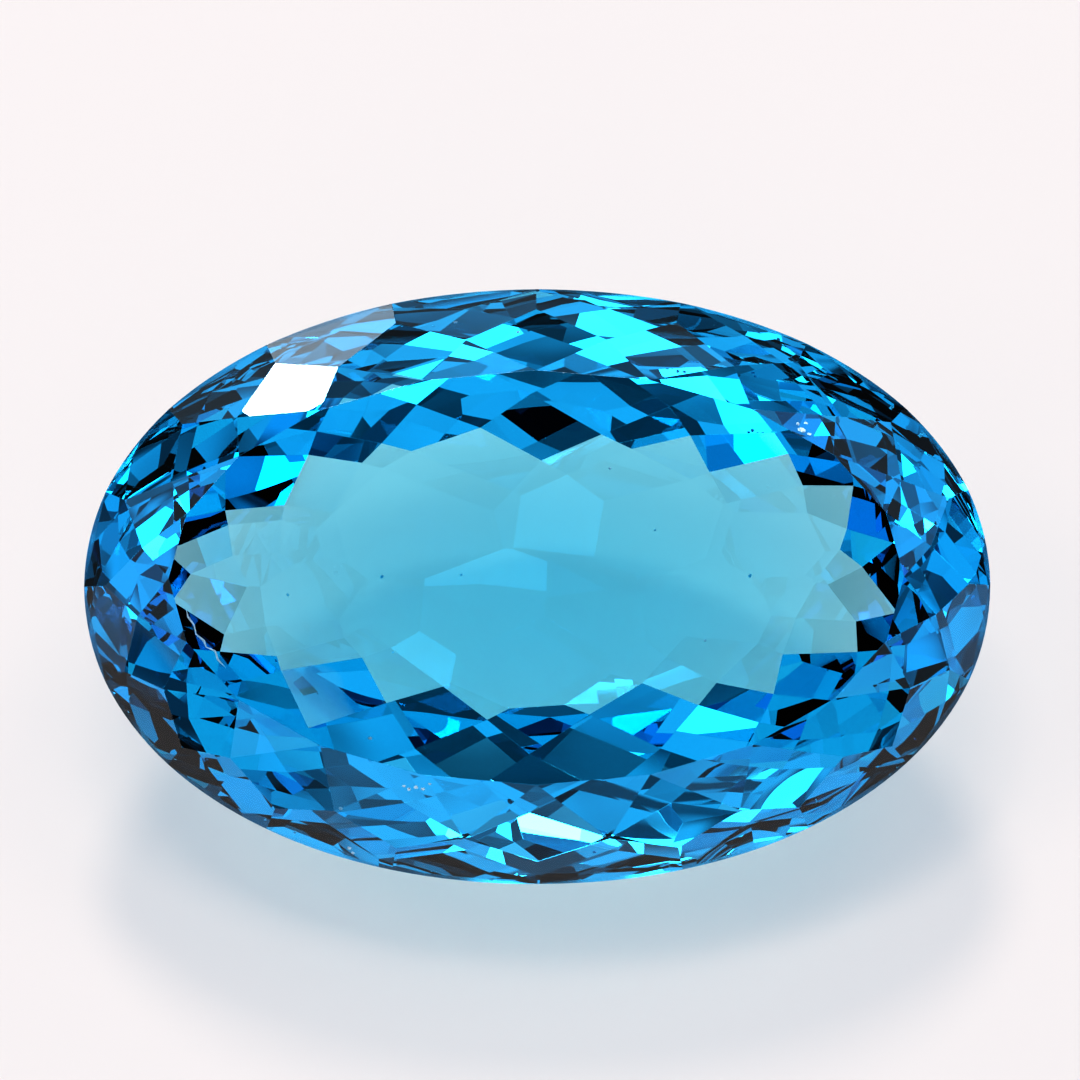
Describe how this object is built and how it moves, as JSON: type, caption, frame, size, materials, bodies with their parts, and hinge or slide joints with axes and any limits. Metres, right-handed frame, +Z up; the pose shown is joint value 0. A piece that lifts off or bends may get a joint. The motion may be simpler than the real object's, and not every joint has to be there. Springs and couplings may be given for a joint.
{
  "type": "cut topaz gemstone",
  "caption": "Oval faceted gemstone with a flat table, a shallow crown and a deep underside of rhomb facets, lying tilted on one facet of its underside.",
  "frame": {"origin": "centre of the bounding box at ground level, as the stone lies", "axes": "+X along the oval's long axis, +Z up, with the table leaning towards -Y"},
  "size_m": [0.027, 0.0166, 0.012],
  "materials": {
    "topaz": "polished"
  },
  "bodies": {
    "root": {"gemstone": "topaz"}
  },
  "joints": []
}
